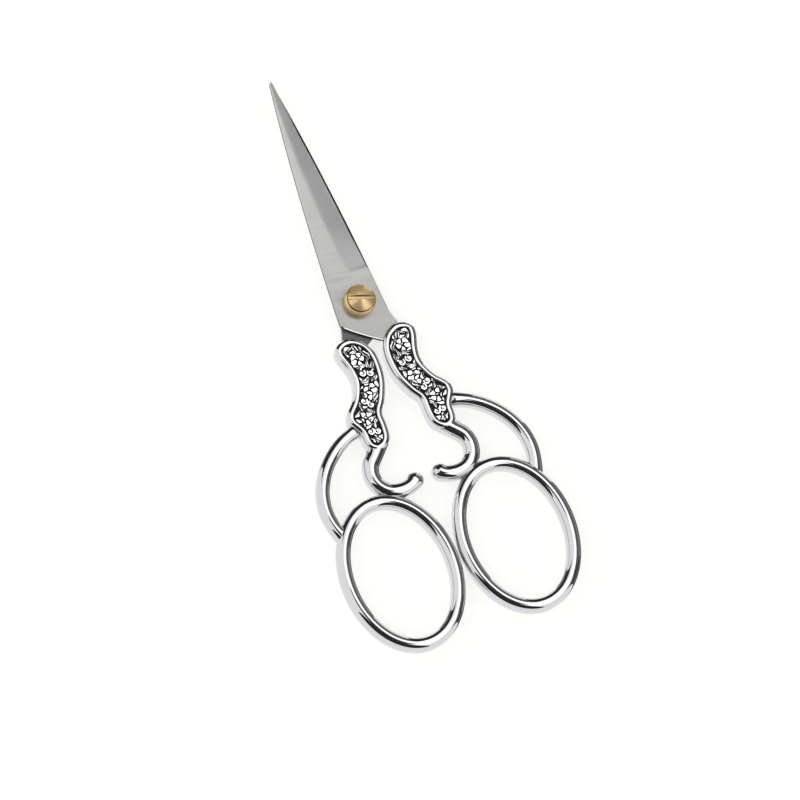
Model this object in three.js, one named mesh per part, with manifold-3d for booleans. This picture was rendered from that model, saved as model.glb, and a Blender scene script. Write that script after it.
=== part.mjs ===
// Small embroidery scissors with ground steel blades and plated cast handles, closed and lying flat.
// Millimetres. +Y runs to the tips, +X to the right handle, +Z up off the table.
// The origin is on the pivot's axis, on the table under the pivot nut.
import * as THREE from "three";
import { mergeVertices } from "three/addons/utils/BufferGeometryUtils.js";
import Module from "manifold-3d";

// Heights and running fits
const HANDLE_T = 4.2; // thickness of a casting at its shank and ring
const BLADE_T = 1.1; // sheet thickness of a blade and its tang
const BLADE_GAP = 0.1; // running gap between the two blades
const SEAT_GAP = 0.05; // gap under the nut's flange, the collar and the screw's head
const PIVOT_CLEAR = 0.1; // radial gap of the blades and the collar on the barrel
const TANG_SIDE_CLEAR = 0.3; // gap round the tang in its pocket
const TANG_FACE_CLEAR = 0.15; // gap above and below the tang

// Blade
const TIP_Y = 51.9; // pivot to tip
const TIP_R = 0.35; // rounding of the tip
const HEEL_X = 5.75; // half width of the blade at its heel
const HEEL_Y = -3.9; // height of the heel's corner
const HEEL_R = 0.6; // rounding of that corner
const HEEL_BOW = [-1.8, -7.4]; // the point that pulls the heel's lower edge outwards
const SPINE_BOW = [4.3, 21]; // the point that pulls the spine outwards
const EDGE_SET = 0.8; // how far the cutting edge stays inside the other blade's spine
const EDGE_T = 0.3; // thickness left at the cutting edge
const PLUNGE_Y = 7.1; // where the ground bevel stops above the pivot
const PLUNGE_SHARE = 0.25; // share of the bevel's depth at that line
const PLUNGE_RUN = 14; // length over which the bevel deepens to its full depth
const BEVEL_BASE_X = 0.3; // inner border of the bevel at the plunge line
const BEVEL_BOW = [-1.6, 27]; // the point that pulls the bevel's border towards the spine
const NECK = [5.2, -1.2]; // where the cutting side starts to flare into the tang
const SHOULDER = [6.7, -7.4]; // where the flare enters the casting
const HEEL_END = [2.4, -9.8]; // where the heel's lower edge enters the casting
const TANG_END_Y = -16.4; // end of the tang
const TANG_END_X = 4.3; // middle of the tang's end
const TANG_END_W = 2.8; // width of the tang's end
const LOCK_Y = -13; // place of the cast pin that locks the tang
const LOCK_R = 0.7; // radius of that pin

// Casting: the shank's outline, from its top end down the outer side, round the hook's root and back up
const SHANK_OUTLINE = [
  [5.3, -6.95], [7.4, -7.2], [8.9, -8.4], [9.1, -10], [8.0, -14], [7.9, -16.4], [9.4, -19.9], [11.7, -22.6],
  [12.0, -24.6], [10.5, -27.6], [10.4, -30.0], [11.4, -32.4], [11.3, -34.4], [9.9, -34.9], [8.1, -33.5],
  [6.1, -32.2], [4.6, -29.8], [4.45, -27], [4.4, -24.5], [2.9, -22.1], [1.3, -18.3], [0.75, -14.4],
  [1.05, -11.2], [2.6, -8.5],
];
const SHANK_EDGE = 0.8; // rounding of the shank's edges
const PANEL_RIM = 1.25; // width of the rim round the recessed panel
const PANEL_DEPTH = 0.5; // depth of the panel on each face
const PANEL_END_Y = -29.4; // where the panel's sides end
const PANEL_TOE = 1.6; // how far its rounded toe reaches below them

// Casting: hook, side arc and finger ring
const HOOK_W = 3.5; // width of the hook's bar
const HOOK_T = 4.1; // its thickness
const HOOK_BACK = [[9.0, -32.2], [10.75, -34.1], [11.4, -36.6], [10.75, -39.2]]; // middle line from the shank
const HOOK_REST = 108; // degrees on the ring where the hook runs into it
const HOOK_SINK = 1.0; // how far the hook sinks into the ring there
const HOOK_CURL = [[6.0, -41.6], [3.6, -41.0], [1.5, -39.0]]; // middle line from the ring to the knob
const ARC_W = 3.0; // width of the side arc's bar
const ARC_T = 3.8; // its thickness
const ARC_START = [9.6, -26.0]; // root of the arc inside the shank
const ARC_BEND = [[19.1, -27.5], [27.2, -38.3]]; // the two points that bend the arc
const ARC_LANDING = 43; // degrees on the ring where the arc lands
const RING_W = 3.15; // width of the ring's bar
const RING_HALF_X = 13.2; // half width of the ring, outside
const RING_HALF_Y = 17.7; // half height of the ring, outside
const RING_TOP_Y = -40.9; // top of the ring
const RING_GAP = 0.3; // gap between the two rings when the scissors are closed
const BAR_SQUARENESS = 2.5; // exponent of a bar's rounded section, 2 is an ellipse

// Pivot
const BARREL_R = 2.0; // the blades turn on this
const FLANGE_R = 3.4; // flange of the barrel nut
const COLLAR_R = 3.35; // collar on the front blade
const COLLAR_T = 2.3; // its height
const COLLAR_CHAMFER = 0.35; // broken edge of the collar and the flange
const HEAD_R = 2.85; // domed head of the screw
const HEAD_RIM_T = 0.5; // straight side of the head
const HEAD_DOME_T = 0.8; // rise of the dome
const SLOT_W = 0.8; // driver slot
const SLOT_DEPTH = 0.7; // its depth at the middle
const SLOT_TURN = -18; // degrees from +X
const THREAD_R = 1.2; // the screw's thread in the barrel
const THREAD_CLEAR = 0.1; // gap round the thread
const THREAD_L = 2.6; // length of the thread in the barrel

// Smoothness
const OUTLINE_STEPS = 76;
const EDGE_STEPS = 2;
const BAR_SIDES = 12;
const RING_STEPS = 44;
const ARC_STEPS = 16;
const HOOK_STEPS = 24;
const KNOB_STEPS = 4;
const TOE_STEPS = 6;
const FLARE_STEPS = 4;
const HEEL_STEPS = 5;
const CORNER_STEPS = 3;
const DOME_STEPS = 6;
const BLADE_STEPS = 12;
const ROUND_STEPS = 36;

// Heights that follow from those above
const MID_Z = HANDLE_T / 2;
const FRONT_Z = MID_Z + BLADE_GAP / 2; // underside of the front blade
const FRONT_TOP = FRONT_Z + BLADE_T;
const COLLAR_Z = FRONT_TOP + SEAT_GAP;
const HEAD_Z = COLLAR_Z + COLLAR_T + SEAT_GAP;
const FLANGE_T = MID_Z - BLADE_GAP / 2 - BLADE_T - SEAT_GAP;
const BARREL_TOP = COLLAR_Z + COLLAR_T / 2;
const PAST = 1; // how far a cutting tool runs past what it cuts

const wasm = await Module();
wasm.setup();

// A closed geometry as a solid for joining and cutting.
function solid(geometry) {
  const bare = geometry.clone();
  bare.deleteAttribute("normal");
  bare.deleteAttribute("uv");
  const merged = mergeVertices(bare, 1e-4);
  return new wasm.Manifold(
    new wasm.Mesh({
      numProp: 3,
      vertProperties: merged.attributes.position.array,
      triVerts: new Uint32Array(merged.index.array),
    }),
  );
}

// A solid back as a geometry.
function geometryOf(made) {
  const mesh = made.getMesh();
  const geometry = new THREE.BufferGeometry();
  geometry.setAttribute("position", new THREE.BufferAttribute(mesh.vertProperties, 3));
  geometry.setIndex(new THREE.BufferAttribute(mesh.triVerts, 1));
  geometry.computeVertexNormals();
  return geometry;
}

function points2(list) {
  return list.map(([x, y]) => new THREE.Vector2(x, y));
}

// A flat outline pushed up from the height z by the depth given, with its edges rounded if asked.
function prism(outline, z, depth, edge = 0) {
  const geometry = new THREE.ExtrudeGeometry(new THREE.Shape(outline), {
    depth: depth - 2 * edge,
    bevelEnabled: edge > 0,
    bevelSize: edge,
    bevelThickness: edge,
    bevelOffset: -edge,
    bevelSegments: EDGE_STEPS,
  });
  geometry.translate(0, 0, z + edge);
  return solid(geometry);
}

// A round piece turned about an upright axis. Its radius and height pairs start and end there, or close up.
function turned(profile, x = 0, y = 0) {
  const geometry = new THREE.LatheGeometry(points2(profile), ROUND_STEPS).rotateX(Math.PI / 2);
  return solid(geometry.translate(x, y, 0));
}

function cylinder(radius, low, high, x = 0, y = 0) {
  return turned([[0, low], [radius, low], [radius, high], [0, high]], x, y);
}

// Skin over a row of rings of points, closed on itself or capped at both ends.
function skin(rings, closed) {
  const sides = rings[0].length;
  const positions = rings.flat().flatMap((p) => [p.x, p.y, p.z]);
  const index = [];
  const spans = closed ? rings.length : rings.length - 1;
  for (let i = 0; i < spans; i += 1) {
    const next = (i + 1) % rings.length;
    for (let k = 0; k < sides; k += 1) {
      const side = (k + 1) % sides;
      const a = i * sides + k;
      const b = i * sides + side;
      const c = next * sides + side;
      const d = next * sides + k;
      index.push(a, c, b, a, d, c);
    }
  }
  const last = (rings.length - 1) * sides;
  for (let k = 1; k < sides - 1 && !closed; k += 1) {
    index.push(0, k, k + 1);
    index.push(last, last + k + 1, last + k);
  }
  const geometry = new THREE.BufferGeometry();
  geometry.setAttribute("position", new THREE.Float32BufferAttribute(positions, 3));
  geometry.setIndex(index);
  return geometry;
}

// One rounded section of a bar, across the direction of travel, narrowed by a share near a rounded end.
function barSection(place, travel, width, thickness, share) {
  const half = Math.PI / BAR_SIDES;
  const power = 2 / BAR_SQUARENESS;
  const fill = Math.sin(Math.PI / 2 - half) ** power;
  const squared = (value) => (Math.sign(value) * Math.abs(value) ** power * share) / (2 * fill);
  const ring = [];
  for (let k = 0; k < BAR_SIDES; k += 1) {
    const turn = half + (2 * Math.PI * k) / BAR_SIDES;
    const across = squared(Math.cos(turn)) * width;
    const rise = squared(Math.sin(turn)) * thickness;
    ring.push(new THREE.Vector3(place.x + travel.y * across, place.y - travel.x * across, MID_Z + rise));
  }
  return ring;
}

// A bar of even section along a flat curve. Its far end may be rounded off into a knob.
function bar(curve, steps, width, thickness, { closed = false, knob = false } = {}) {
  const length = curve.getLength();
  const round = width / 2;
  const stations = [];
  for (let i = 0; i < steps + (closed ? 0 : 1); i += 1) {
    stations.push({ u: ((i / steps) * (knob ? length - round : length)) / length, share: 1 });
  }
  for (let i = 1; i <= KNOB_STEPS && knob; i += 1) {
    const turn = ((i - 0.4) / KNOB_STEPS) * (Math.PI / 2);
    stations.push({ u: (length - round + round * Math.sin(turn)) / length, share: Math.cos(turn) });
  }
  const rings = stations.map(({ u, share }) =>
    barSection(curve.getPointAt(u), curve.getTangentAt(u), width, thickness, share),
  );
  return solid(skin(rings, closed));
}

// The cutting edge, from the neck to the tip.
function edgeCurve() {
  return new THREE.QuadraticBezierCurve(
    new THREE.Vector2(...NECK),
    new THREE.Vector2(SPINE_BOW[0] - EDGE_SET, SPINE_BOW[1]),
    new THREE.Vector2(TIP_R, TIP_Y - TIP_R),
  );
}

// Outline of a blade seen from above, with its tang.
function bladeOutline() {
  const spine = new THREE.QuadraticBezierCurve(
    new THREE.Vector2(-TIP_R, TIP_Y - TIP_R),
    new THREE.Vector2(-SPINE_BOW[0], SPINE_BOW[1]),
    new THREE.Vector2(-HEEL_X, HEEL_Y + HEEL_R),
  );
  const corner = new THREE.QuadraticBezierCurve(
    spine.v2,
    new THREE.Vector2(-HEEL_X, HEEL_Y),
    new THREE.Vector2(-HEEL_X + HEEL_R, HEEL_Y - HEEL_R),
  );
  const heel = new THREE.QuadraticBezierCurve(
    corner.v2,
    new THREE.Vector2(...HEEL_BOW),
    new THREE.Vector2(...HEEL_END),
  );
  const flare = new THREE.QuadraticBezierCurve(
    new THREE.Vector2(...SHOULDER),
    new THREE.Vector2(NECK[0], (NECK[1] + SHOULDER[1]) / 2),
    new THREE.Vector2(...NECK),
  );
  return [
    ...flare.getPoints(FLARE_STEPS),
    ...edgeCurve().getPoints(BLADE_STEPS).slice(1),
    new THREE.Vector2(0, TIP_Y),
    ...spine.getPoints(BLADE_STEPS),
    ...corner.getPoints(CORNER_STEPS).slice(1),
    ...heel.getPoints(HEEL_STEPS).slice(1),
    ...tangEnd(0),
  ];
}

// The tang's end, with both sides and the end moved out by a margin.
function tangEnd(margin) {
  const half = TANG_END_W / 2;
  return points2([
    [TANG_END_X - half - margin, TANG_END_Y - margin],
    [TANG_END_X + half + margin, TANG_END_Y - margin],
  ]);
}

// The ground bevel as a tool: a wedge that grows from the bevel's border to the cutting edge, and along the
// blade from a shallow step at the plunge line.
function bevelTool() {
  const border = new THREE.QuadraticBezierCurve(
    new THREE.Vector2(BEVEL_BASE_X, PLUNGE_Y),
    new THREE.Vector2(...BEVEL_BOW),
    new THREE.Vector2(-TIP_R, TIP_Y + PAST),
  );
  const edge = edgeCurve();
  const drop = BLADE_T - EDGE_T;
  const rings = [];
  for (let i = 0; i <= BLADE_STEPS; i += 1) {
    const inner = border.getPoint(i / BLADE_STEPS);
    const along = (inner.y - NECK[1]) / (TIP_Y - NECK[1]);
    const outer = edge.getPoint(Math.min(along, 1));
    const deepened = THREE.MathUtils.smoothstep(inner.y, PLUNGE_Y, PLUNGE_Y + PLUNGE_RUN);
    const ground = PLUNGE_SHARE + (1 - PLUNGE_SHARE) * deepened;
    const slope = (drop * ground) / (outer.x - inner.x);
    const far = outer.x + PAST;
    rings.push([
      new THREE.Vector3(inner.x, inner.y, FRONT_TOP),
      new THREE.Vector3(far, inner.y, FRONT_TOP - slope * (far - inner.x)),
      new THREE.Vector3(far, inner.y, FRONT_TOP + PAST),
      new THREE.Vector3(inner.x, inner.y, FRONT_TOP + PAST),
    ]);
  }
  return solid(skin(rings, false));
}

function bladeSolid() {
  const lock = cylinder(LOCK_R + TANG_SIDE_CLEAR, FRONT_Z - PAST, FRONT_TOP + PAST, TANG_END_X, LOCK_Y);
  return prism(bladeOutline(), FRONT_Z, BLADE_T)
    .subtract(bevelTool())
    .subtract(cylinder(BARREL_R + PIVOT_CLEAR, FRONT_Z - PAST, FRONT_TOP + PAST))
    .subtract(lock);
}

// The shank's outline as a smooth closed curve, and the panel inside it at the width of the rim.
function shankCurve() {
  const corners = SHANK_OUTLINE.map(([x, y]) => new THREE.Vector3(x, y, 0));
  return new THREE.CatmullRomCurve3(corners, true, "centripetal");
}

function panelOutline() {
  const curve = shankCurve();
  const outerSide = [];
  const innerSide = [];
  let side = outerSide;
  for (let i = 0; i < OUTLINE_STEPS; i += 1) {
    const place = curve.getPointAt(i / OUTLINE_STEPS);
    const travel = curve.getTangentAt(i / OUTLINE_STEPS);
    const point = new THREE.Vector2(place.x + travel.y * PANEL_RIM, place.y - travel.x * PANEL_RIM);
    if (point.y > PANEL_END_Y) side.push(point);
    else side = innerSide;
  }
  const from = outerSide.at(-1);
  const to = innerSide[0];
  const low = new THREE.Vector2((from.x + to.x) / 2, PANEL_END_Y - 2 * PANEL_TOE);
  const toe = new THREE.QuadraticBezierCurve(from, low, to).getPoints(TOE_STEPS).slice(1, -1);
  return [...outerSide, ...toe, ...innerSide];
}

function shankSolid() {
  const outline = shankCurve().getSpacedPoints(OUTLINE_STEPS).slice(0, -1);
  return prism(outline.map((p) => new THREE.Vector2(p.x, p.y)), 0, HANDLE_T, SHANK_EDGE);
}

// The ring's middle line: an upright ellipse beside the axis, hanging from its top.
function ringCurve() {
  const halfX = RING_HALF_X - RING_W / 2;
  const halfY = RING_HALF_Y - RING_W / 2;
  const centre = [RING_HALF_X + RING_GAP / 2, RING_TOP_Y - RING_HALF_Y];
  return new THREE.EllipseCurve(...centre, halfX, halfY);
}

function arcCurve() {
  const landing = ringCurve().getPoint(ARC_LANDING / 360);
  return new THREE.CubicBezierCurve(...points2([ARC_START, ...ARC_BEND]), landing);
}

// The hook's middle line: down from the shank, over the ring's shoulder and up to the knob.
function hookCurve() {
  const ring = ringCurve();
  const rest = ring.getPoint(HOOK_REST / 360);
  const travel = ring.getTangent(HOOK_REST / 360);
  const reach = (RING_W + HOOK_W) / 2 - HOOK_SINK;
  const touch = new THREE.Vector2(rest.x + travel.y * reach, rest.y - travel.x * reach);
  return new THREE.SplineCurve([...points2(HOOK_BACK), touch, ...points2(HOOK_CURL)]);
}

// The pocket for the tang: its outline with room on every side, open towards the pivot.
function tangPocket() {
  const room = TANG_SIDE_CLEAR;
  const mouth = points2([
    [SHOULDER[0] + room, SHOULDER[1]],
    [SHOULDER[0] + room, HEEL_Y],
    [-HEEL_X, HEEL_Y],
    [HEEL_BOW[0] - room, HEEL_BOW[1] - room],
    [HEEL_END[0] - room, HEEL_END[1] - room],
  ]);
  const low = FRONT_Z - TANG_FACE_CLEAR;
  const pocket = prism([...mouth, ...tangEnd(room)], low, BLADE_T + 2 * TANG_FACE_CLEAR);
  return pocket.subtract(cylinder(LOCK_R, 0, HANDLE_T, TANG_END_X, LOCK_Y));
}

function handleSolid() {
  const panel = panelOutline();
  return shankSolid()
    .add(bar(hookCurve(), HOOK_STEPS, HOOK_W, HOOK_T, { knob: true }))
    .add(bar(arcCurve(), ARC_STEPS, ARC_W, ARC_T))
    .add(bar(ringCurve(), RING_STEPS, RING_W, HANDLE_T, { closed: true }))
    .subtract(prism(panel, HANDLE_T - PANEL_DEPTH, PANEL_DEPTH + PAST))
    .subtract(prism(panel, -PAST, PANEL_DEPTH + PAST))
    .subtract(tangPocket());
}

// Pivot: barrel nut from behind, collar on the front blade, screw into the barrel.
function nutSolid() {
  return turned([
    [0, 0],
    [FLANGE_R - COLLAR_CHAMFER, 0],
    [FLANGE_R, COLLAR_CHAMFER],
    [FLANGE_R, FLANGE_T],
    [BARREL_R, FLANGE_T],
    [BARREL_R, BARREL_TOP],
    [THREAD_R + THREAD_CLEAR, BARREL_TOP],
    [THREAD_R + THREAD_CLEAR, HEAD_Z - COLLAR_T - THREAD_L],
    [0, HEAD_Z - COLLAR_T - THREAD_L],
  ]);
}

function collarSolid() {
  const hole = BARREL_R + PIVOT_CLEAR;
  return turned([
    [hole, COLLAR_Z],
    [COLLAR_R, COLLAR_Z],
    [COLLAR_R, COLLAR_Z + COLLAR_T - COLLAR_CHAMFER],
    [COLLAR_R - COLLAR_CHAMFER, COLLAR_Z + COLLAR_T],
    [hole, COLLAR_Z + COLLAR_T],
    [hole, COLLAR_Z],
  ]);
}

function screwSolid() {
  const domeR = (HEAD_R ** 2 + HEAD_DOME_T ** 2) / (2 * HEAD_DOME_T);
  const rim = HEAD_Z + HEAD_RIM_T;
  const dome = [];
  for (let i = 0; i <= DOME_STEPS; i += 1) {
    const radius = HEAD_R * (1 - i / DOME_STEPS);
    dome.push([radius, rim + HEAD_DOME_T - domeR + Math.sqrt(domeR ** 2 - radius ** 2)]);
  }
  const low = HEAD_Z - COLLAR_T - THREAD_L + THREAD_CLEAR;
  const body = turned([[0, low], [THREAD_R, low], [THREAD_R, HEAD_Z], [HEAD_R, HEAD_Z], ...dome]);
  const slot = new THREE.BoxGeometry(2 * (HEAD_R + PAST), SLOT_W, SLOT_DEPTH + PAST);
  slot.translate(0, 0, rim + HEAD_DOME_T + (PAST - SLOT_DEPTH) / 2);
  slot.rotateZ(THREE.MathUtils.degToRad(SLOT_TURN));
  return body.subtract(solid(slot));
}

const STEEL = { color: 0xb9b8b6, roughness: 0.35, metalness: 1 };
const CHROME = { color: 0xd9dade, roughness: 0.08, metalness: 1 };
const BRASS = { color: 0xc9a04e, roughness: 0.25, metalness: 1 };

function piece(name, made, look) {
  const mesh = new THREE.Mesh(geometryOf(made), new THREE.MeshStandardMaterial(look));
  mesh.name = name;
  return mesh;
}

// The rear half is the front half turned over about the long axis at the castings' middle height.
function half(blade, handle) {
  const group = new THREE.Group();
  group.add(piece(blade, bladeSolid(), STEEL));
  group.add(piece(handle, handleSolid(), CHROME));
  return group;
}

const frontHalf = half("front_blade", "right_handle");
const rearHalf = half("rear_blade", "left_handle");
rearHalf.rotation.y = Math.PI;
rearHalf.position.z = HANDLE_T;

const scissors = new THREE.Group();
scissors.add(frontHalf, rearHalf);
scissors.add(piece("pivot_nut", nutSolid(), BRASS));
scissors.add(piece("pivot_collar", collarSolid(), BRASS));
scissors.add(piece("pivot_screw", screwSolid(), BRASS));

export default scissors;
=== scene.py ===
# %% [markdown]
# Embroidery scissors, five inches long, lying closed on a white table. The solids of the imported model
# give the sizes and the places of all pieces, and this lesson dresses them: smooth bright castings with
# carved panels, satin ground blades and a turned brass pivot. Lengths of the scissors are written in
# millimetres and brought to metres when a piece is finished. Lengths of the room are in metres.

# %% Load the frame
from math import atan2, cos, pi, radians, sin, sqrt

import bmesh
import bpy
from mathutils import Matrix, Vector, noise
from mathutils.geometry import interpolate_bezier
from mathutils.kdtree import KDTree


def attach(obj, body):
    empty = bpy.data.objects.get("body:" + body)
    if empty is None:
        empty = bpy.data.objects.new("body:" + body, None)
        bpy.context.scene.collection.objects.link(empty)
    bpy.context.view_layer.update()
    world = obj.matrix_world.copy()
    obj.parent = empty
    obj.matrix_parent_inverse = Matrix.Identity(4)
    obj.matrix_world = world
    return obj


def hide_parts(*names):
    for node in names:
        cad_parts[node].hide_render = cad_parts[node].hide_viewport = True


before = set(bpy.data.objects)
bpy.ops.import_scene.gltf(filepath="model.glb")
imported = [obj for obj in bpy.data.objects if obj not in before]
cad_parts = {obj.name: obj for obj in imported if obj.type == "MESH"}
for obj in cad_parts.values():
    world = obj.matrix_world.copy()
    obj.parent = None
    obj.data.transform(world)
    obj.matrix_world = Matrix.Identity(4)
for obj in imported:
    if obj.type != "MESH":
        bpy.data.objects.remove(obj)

MM = 0.001
scene = bpy.context.scene
scene.view_settings.view_transform = "Standard"
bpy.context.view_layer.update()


print("solids", sorted(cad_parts))

# %% [markdown]
# The camera looks down steeply on the table and is turned, so that the blades point to the upper left.
# A long lens keeps the two rings the same size, as the photograph does. The direction is written as an
# azimuth and an elevation, and the roll turns the picture round the line of sight. The point aimed at is
# given by where the pivot shows.

# %% Camera
AZIMUTH = radians(-140.15)
ELEVATION = radians(70.5)
ROLL = radians(30)
LENS = 600
SENSOR = 36
CLIP_END = 100
FRAME_WIDTH = 169.96
PIVOT_IN_PICTURE = (-8.9, 20.48)
HANDLE_T = 4.2
MIDDLE = HANDLE_T / 2

towards_camera = Vector((cos(AZIMUTH) * cos(ELEVATION), sin(AZIMUTH) * cos(ELEVATION), sin(ELEVATION)))
level = Vector((-sin(AZIMUTH), cos(AZIMUTH), 0))
upward = towards_camera.cross(level)
right = cos(ROLL) * level + sin(ROLL) * upward
up = cos(ROLL) * upward - sin(ROLL) * level
aim = Vector((0, 0, MIDDLE)) - PIVOT_IN_PICTURE[0] * right - PIVOT_IN_PICTURE[1] * up

camera = bpy.data.objects.new("camera", bpy.data.cameras.new("camera"))
camera.data.lens = LENS
camera.data.sensor_width = SENSOR
camera.data.clip_end = CLIP_END
camera.location = (aim + towards_camera * FRAME_WIDTH * LENS / SENSOR) * MM
camera.rotation_mode = "QUATERNION"
camera.rotation_quaternion = Matrix((right, up, towards_camera)).transposed().to_quaternion()
scene.collection.objects.link(camera)
scene.camera = camera
print("camera stands", round(camera.location.length, 3), "m away")

# %% [markdown]
# Bright plating shows the room more than itself, so the room matters as much as the metal. A product
# photographer puts shiny metal in a white tent and hangs dark flags in it, and each flag then draws a
# dark line along every bar. Here the world is the white tent, and the floor is a white table that keeps a
# soft shadow. The flags are black and grey cards, with one bright card among them, and only reflections
# see them. Reflections don't see the table, so some flags hang below its level. Two soft lamps give the
# shadow its direction.

# %% Small helpers for shader nodes
UNIT = (0.0, 1.0)
NOISE_SPAN = (0.3, 0.7)


def fill_inputs(tree, node, inputs):
    """Sets inputs of a node. A socket among the values is linked."""
    for key, value in inputs.items():
        if isinstance(value, bpy.types.NodeSocket):
            tree.links.new(value, node.inputs[key])
        else:
            node.inputs[key].default_value = value


def new_material(name, inputs):
    """A material, its node tree and its shader with these inputs."""
    material = bpy.data.materials.new(name)
    material.use_nodes = True
    tree = material.node_tree
    shader = tree.nodes["Principled BSDF"]
    fill_inputs(tree, shader, inputs)
    return material, tree, shader


def add_node(tree, kind, inputs, **settings):
    node = tree.nodes.new(kind)
    for key, value in settings.items():
        setattr(node, key, value)
    fill_inputs(tree, node, inputs)
    return node


def add_math(tree, operation, first, second=0.0):
    return add_node(tree, "ShaderNodeMath", {0: first, 1: second}, operation=operation).outputs[0]


def add_range(tree, value, source, target, **settings):
    """A value carried over from a source range to a target range."""
    ends = {"From Min": source[0], "From Max": source[1], "To Min": target[0], "To Max": target[1]}
    return add_node(tree, "ShaderNodeMapRange", {"Value": value, **ends}, **settings).outputs[0]


def add_noise(tree, place, scale, detail):
    inputs = {"Vector": place, "Scale": scale, "Detail": detail}
    return add_node(tree, "ShaderNodeTexNoise", inputs).outputs["Fac"]


def add_mix(tree, factor, first, second):
    """A colour between two others, which are the inputs 6 and 7 of the node."""
    inputs = {"Factor": factor, 6: first, 7: second}
    return add_node(tree, "ShaderNodeMix", inputs, data_type="RGBA").outputs[2]


def add_bump(tree, height, strength, distance):
    inputs = {"Height": height, "Strength": strength, "Distance": distance}
    return add_node(tree, "ShaderNodeBump", inputs).outputs["Normal"]


def object_place(tree):
    return add_node(tree, "ShaderNodeTexCoord", {}).outputs["Object"]


def axes_of(tree, place):
    return add_node(tree, "ShaderNodeSeparateXYZ", {"Vector": place}).outputs


def seen_directly(tree):
    """1 for rays of the camera and of reflections, and 0 for light that spreads."""
    path = add_node(tree, "ShaderNodeLightPath", {}).outputs
    return add_math(tree, "MAXIMUM", path["Is Camera Ray"], path["Is Glossy Ray"])


# %% White tent
TENT_LIGHT = 0.45

world = bpy.data.worlds.new("tent")
world.use_nodes = True
scene.world = world
tent = world.node_tree
tent_level = add_range(tent, seen_directly(tent), UNIT, (TENT_LIGHT, 1.0))
fill_inputs(tent, tent.nodes["Background"], {"Color": (1, 1, 1, 1), "Strength": tent_level})
print("tent lights at", TENT_LIGHT)

# %% White table
PAPER = (0.8, 0.796, 0.766, 1)
PAPER_GLOW = (1.0, 0.995, 0.957, 1)
GLOW_STRENGTH = 0.62
TABLE_SIZE = 8.0
TABLE_Z = -0.00002


def mesh_object(name, bm, materials=()):
    """An object with the mesh that was built, in the scene."""
    mesh = bpy.data.meshes.new(name)
    bm.to_mesh(mesh)
    bm.free()
    for material in materials:
        mesh.materials.append(material)
    made = bpy.data.objects.new(name, mesh)
    scene.collection.objects.link(made)
    return made


table_paper, tree, shader = new_material("table_paper", {
    "Base Color": PAPER, "Roughness": 0.9, "Specular IOR Level": 0.0, "Emission Color": PAPER_GLOW})
glow = add_math(tree, "MULTIPLY", seen_directly(tree), GLOW_STRENGTH)
fill_inputs(tree, shader, {"Emission Strength": glow})
bm = bmesh.new()
bmesh.ops.create_grid(bm, x_segments=1, y_segments=1, size=TABLE_SIZE / 2)
table = mesh_object("table", bm, [table_paper])
table.location.z = TABLE_Z
table.visible_glossy = False
print("table is", TABLE_SIZE, "m wide")

# %% Flags
FLAG_DISTANCE = 1.5
FLAG_STEPS = 12
far = Vector((-towards_camera.x, -towards_camera.y, 0)).normalized()


def room_direction(turn, height):
    """A direction in degrees: turn from the far side to the right, height above the table."""
    sideways = cos(radians(turn)) * far + sin(radians(turn)) * level
    return cos(radians(height)) * sideways + Vector((0, 0, sin(radians(height))))


def blend(first, second, share):
    return first + (second - first) * share


def hang_flag(name, shade, turns, heights):
    """A card on a shell round the table, between two turns and two heights. Shade is its brightness."""
    cloth = new_material(name, {
        "Base Color": (0, 0, 0, 1), "Specular IOR Level": 0.0,
        "Emission Color": (shade, shade, shade, 1), "Emission Strength": 1.0})[0]
    bm = bmesh.new()
    bmesh.ops.create_grid(bm, x_segments=FLAG_STEPS, y_segments=FLAG_STEPS, size=0.5)
    for vert in bm.verts:
        turn = blend(*turns, vert.co.x + 0.5)
        height = blend(*heights, vert.co.y + 0.5)
        vert.co = room_direction(turn, height) * FLAG_DISTANCE
    flag = mesh_object(name, bm, [cloth])
    flag.visible_camera = False
    flag.visible_diffuse = False
    flag.visible_shadow = False
    print(name, "from", turns[0], "to", turns[1], "degrees")


hang_flag("near_flag", 0.03, (118, 213), (18, 80))
hang_flag("left_flag", 0.03, (-84, -12), (-2, 58))
hang_flag("low_left_flag", 0.1, (-84, -56), (-36, -2))
hang_flag("far_flag", 0.14, (-12, 50), (20, 61))
hang_flag("top_flag", 0.04, (-180, 180), (80, 90))
hang_flag("right_flag", 0.07, (50, 71), (-2, 52))
hang_flag("low_right_flag", 0.15, (15, 71), (-60, -2))
hang_flag("low_far_flag", 0.3, (15, 50), (-2, 20))
hang_flag("strip_light", 1.7, (-28, 110), (62, 79))

# %% Soft lamps
LAMP_DISTANCE = 1.4


def hang_lamp(name, turn, height, width, depth, radiance):
    lamp = bpy.data.objects.new(name, bpy.data.lights.new(name, "AREA"))
    lamp.data.shape = "RECTANGLE"
    lamp.data.size = width
    lamp.data.size_y = depth
    lamp.data.energy = radiance * pi * width * depth
    lamp.location = room_direction(turn, height) * LAMP_DISTANCE
    lamp.rotation_mode = "QUATERNION"
    lamp.rotation_quaternion = lamp.location.to_track_quat("Z", "Y")
    lamp.visible_camera = False
    lamp.visible_glossy = False
    scene.collection.objects.link(lamp)
    print(name, "gives", round(lamp.data.energy, 2), "W")


hang_lamp("left_lamp", -115, 30, 1.6, 1.6, 0.45)
hang_lamp("right_lamp", 60, 68, 1.4, 0.35, 0.6)

# %% [markdown]
# Every bar of the castings runs along a flat line. A smooth line through a few points could be drawn as a
# curve object, but the pieces are wanted as meshes, so the points are joined by Bezier arcs and walked at
# an even pace. The even pace keeps the faces alike, and that keeps reflections calm.

# %% Smooth lines through points
BEZIER_STEPS = 40


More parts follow.
